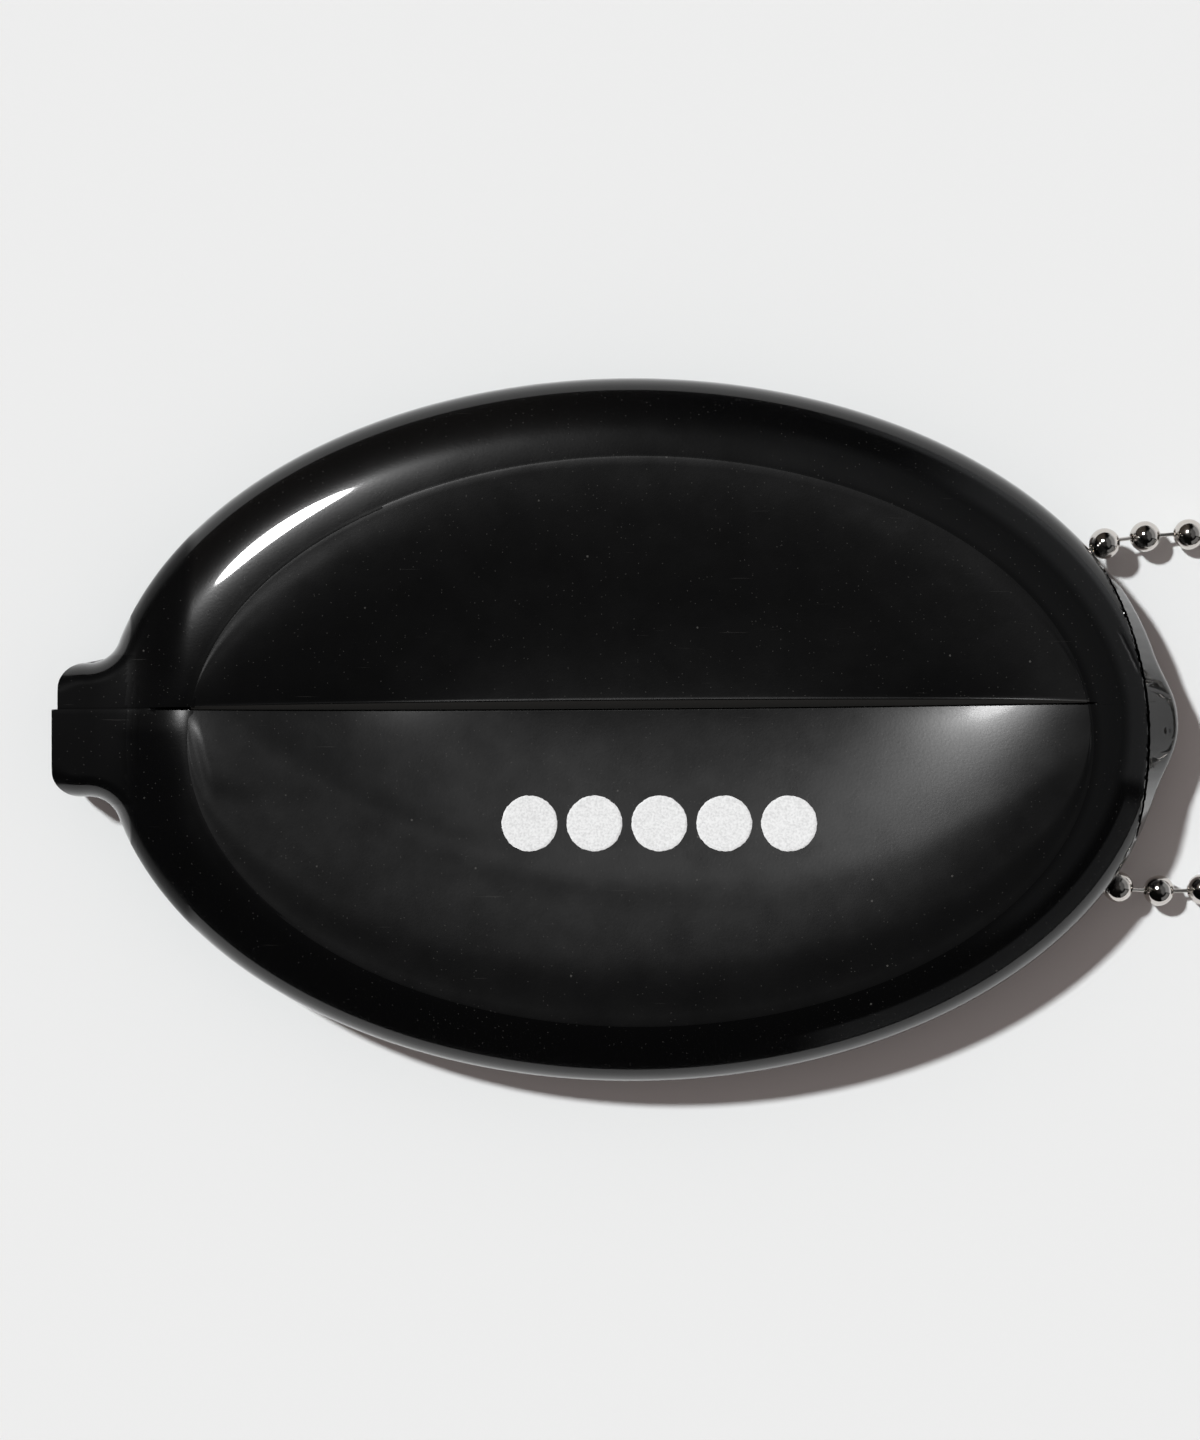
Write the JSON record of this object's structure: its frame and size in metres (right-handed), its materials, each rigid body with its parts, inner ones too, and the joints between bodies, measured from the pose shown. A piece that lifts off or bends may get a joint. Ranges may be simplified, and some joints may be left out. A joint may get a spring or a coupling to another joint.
{
  "type": "squeeze coin case",
  "caption": "Oval soft-vinyl squeeze coin case with a slit front sunk between two lips, a stub neck at one end and a loop of ball chain with a clasp at the other.",
  "frame": {"origin": "centre of the oval on the flat back, the face that it lies on", "axes": "+X along the slit towards the chain's end, +Y across the slit to the upper lip, +Z out of the slit front"},
  "size_m": [0.1355, 0.0724, 0.013],
  "materials": {
    "black_vinyl": "satin to gloss, faintly scuffed",
    "nickel_plate": "bright nickel plating"
  },
  "bodies": {
    "case": {"case_shell": "black_vinyl", "bead_inner_1": "nickel_plate", "bead_inner_2": "nickel_plate", "bead_inner_3": "nickel_plate", "bead_inner_4": "nickel_plate", "bead_inner_5": "nickel_plate", "bead_inner_6": "nickel_plate", "bead_inner_7": "nickel_plate", "bead_inner_8": "nickel_plate", "bead_inner_9": "nickel_plate", "link_inner_1": "nickel_plate", "link_inner_2": "nickel_plate", "link_inner_3": "nickel_plate", "link_inner_4": "nickel_plate", "link_inner_5": "nickel_plate", "link_inner_6": "nickel_plate", "link_inner_7": "nickel_plate", "link_inner_8": "nickel_plate", "link_inner_9": "nickel_plate", "link_inner_10": "nickel_plate", "bead_upper_1": "nickel_plate", "bead_lower_1": "nickel_plate"},
    "lip_above": {"upper_lip": "black_vinyl"},
    "lip_below": {"lower_lip": "black_vinyl"},
    "chain_row_2": {"bead_upper_2": "nickel_plate", "link_upper_2": "nickel_plate", "bead_lower_2": "nickel_plate", "link_lower_2": "nickel_plate"},
    "chain_row_3": {"bead_upper_3": "nickel_plate", "link_upper_3": "nickel_plate", "bead_lower_3": "nickel_plate", "link_lower_3": "nickel_plate"},
    "chain_row_4": {"bead_upper_4": "nickel_plate", "link_upper_4": "nickel_plate", "bead_lower_4": "nickel_plate", "link_lower_4": "nickel_plate"},
    "chain_row_5": {"bead_upper_5": "nickel_plate", "link_upper_5": "nickel_plate", "bead_lower_5": "nickel_plate", "link_lower_5": "nickel_plate"},
    "chain_row_6": {"bead_upper_6": "nickel_plate", "link_upper_6": "nickel_plate", "bead_lower_6": "nickel_plate", "link_lower_6": "nickel_plate"},
    "chain_row_7": {"bead_upper_7": "nickel_plate", "link_upper_7": "nickel_plate", "bead_lower_7": "nickel_plate", "link_lower_7": "nickel_plate"},
    "chain_row_8": {"bead_upper_8": "nickel_plate", "link_upper_8": "nickel_plate", "bead_lower_8": "nickel_plate", "link_lower_8": "nickel_plate"},
    "clasp": {"chain_clasp": "nickel_plate"}
  },
  "joints": [
    {"name": "upper_lip_fold", "type": "hinge", "parent": "case", "child": "lip_above", "pos_m": [0, 0.0279, 0.01265], "axis": [-1, 0, 0], "range_deg": [0, 50], "stiffness_Nm_per_rad": 0.03},
    {"name": "lower_lip_fold", "type": "hinge", "parent": "case", "child": "lip_below", "pos_m": [0, -0.0297, 0.01265], "axis": [1, 0, 0], "range_deg": [0, 50], "stiffness_Nm_per_rad": 0.03},
    {"name": "chain_fold_2", "type": "hinge", "parent": "case", "child": "chain_row_2", "pos_m": [0.05083, 0.00155, 0.00414], "axis": [0.0384, -0.9993, 0], "range_deg": [-20, 20]},
    {"name": "chain_fold_3", "type": "hinge", "parent": "chain_row_2", "child": "chain_row_3", "pos_m": [0.05527, 0.00172, 0.00244], "axis": [0.0384, -0.9993, 0], "range_deg": [-20, 20]},
    {"name": "chain_fold_4", "type": "hinge", "parent": "chain_row_3", "child": "chain_row_4", "pos_m": [0.05996, 0.0019, 0.0017], "axis": [0.0384, -0.9993, 0], "range_deg": [-20, 20]},
    {"name": "chain_fold_5", "type": "hinge", "parent": "chain_row_4", "child": "chain_row_5", "pos_m": [0.06456, 0.00208, 0.00159], "axis": [0.0384, -0.9993, 0], "range_deg": [-20, 20]},
    {"name": "chain_fold_6", "type": "hinge", "parent": "chain_row_5", "child": "chain_row_6", "pos_m": [0.06864, 0.00224, 0.00163], "axis": [0.0384, -0.9993, 0], "range_deg": [-20, 20]},
    {"name": "chain_fold_7", "type": "hinge", "parent": "chain_row_6", "child": "chain_row_7", "pos_m": [0.07177, 0.00236, 0.00163], "axis": [0.0384, -0.9993, 0], "range_deg": [-20, 20]},
    {"name": "chain_fold_8", "type": "hinge", "parent": "chain_row_7", "child": "chain_row_8", "pos_m": [0.07349, 0.00242, 0.00172], "axis": [0.0384, -0.9993, 0], "range_deg": [-20, 20]},
    {"name": "clasp_slide", "type": "slide", "parent": "chain_row_8", "child": "clasp", "axis": [0.9993, 0.0384, 0], "range_m": [0, 0.0036]}
  ],
  "couplings": [
    {"joint": "lower_lip_fold", "follows": "upper_lip_fold", "ratio": 1}
  ]
}
